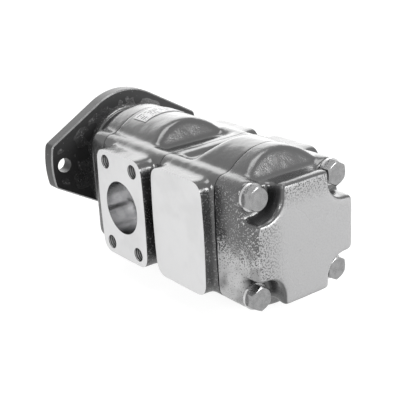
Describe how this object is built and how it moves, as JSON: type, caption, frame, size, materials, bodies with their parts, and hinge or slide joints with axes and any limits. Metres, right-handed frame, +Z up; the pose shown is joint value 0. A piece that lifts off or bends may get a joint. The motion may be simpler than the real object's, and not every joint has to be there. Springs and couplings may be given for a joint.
{
  "type": "tandem gear pump",
  "caption": "Tandem external gear hydraulic pump with a bolted mounting flange, splined drive shaft, domed cast iron housings and side port pads.",
  "frame": {"origin": "centre of the pilot on the mounting face, on the drive shaft axis", "axes": "+X along the drive shaft from the mounting face to the rear cover, +Z up, inlet looking along -Y"},
  "size_m": [0.3113, 0.173, 0.1514],
  "materials": {
    "painted_casting": "thick glossy dark grey paint over a rough sand casting, machined joint faces",
    "painted_housing": "thick glossy dark grey paint over a rough sand casting, bare machined port pads",
    "zinc_steel": "zinc plated",
    "label_aluminium": "satin plate",
    "gear_steel": "ground",
    "block_aluminium": "machined",
    "bush_bronze": "bored",
    "seal_rubber": "moulded",
    "spring_steel": "phosphated"
  },
  "bodies": {
    "housing": {"front_cover": "painted_casting", "front_body": "painted_housing", "rear_body": "painted_housing", "rear_cover": "painted_casting", "tie_bolts": "zinc_steel", "tie_bolt_washers": "zinc_steel", "label_plate": "label_aluminium", "front_section_front_bearing_block": "block_aluminium", "front_section_rear_bearing_block": "block_aluminium", "rear_section_front_bearing_block": "block_aluminium", "rear_section_rear_bearing_block": "block_aluminium", "front_section_bushes": "bush_bronze", "rear_section_bushes": "bush_bronze", "front_section_pressure_seals": "seal_rubber", "rear_section_pressure_seals": "seal_rubber", "shaft_seal": "seal_rubber", "seal_retaining_ring": "spring_steel", "front_joint_seal": "seal_rubber", "middle_joint_seals": "seal_rubber", "rear_joint_seal": "seal_rubber", "front_joint_dowels": "spring_steel", "middle_joint_dowels": "spring_steel", "rear_joint_dowels": "spring_steel"},
    "drive_train": {"front_drive_gear": "gear_steel", "shaft_coupling": "gear_steel", "rear_drive_gear": "gear_steel"},
    "front_driven": {"front_driven_gear": "gear_steel"},
    "rear_driven": {"rear_driven_gear": "gear_steel"}
  },
  "joints": [
    {"name": "drive_spin", "type": "hinge", "parent": "housing", "child": "drive_train", "pos_m": [0, 0, 0], "axis": [1, 0, 0], "continuous": true},
    {"name": "front_driven_spin", "type": "hinge", "parent": "housing", "child": "front_driven", "pos_m": [0, 0, -0.042], "axis": [1, 0, 0], "continuous": true},
    {"name": "rear_driven_spin", "type": "hinge", "parent": "housing", "child": "rear_driven", "pos_m": [0, 0, -0.042], "axis": [1, 0, 0], "continuous": true}
  ],
  "couplings": [
    {"joint": "front_driven_spin", "follows": "drive_spin", "ratio": -1},
    {"joint": "rear_driven_spin", "follows": "drive_spin", "ratio": -1}
  ]
}
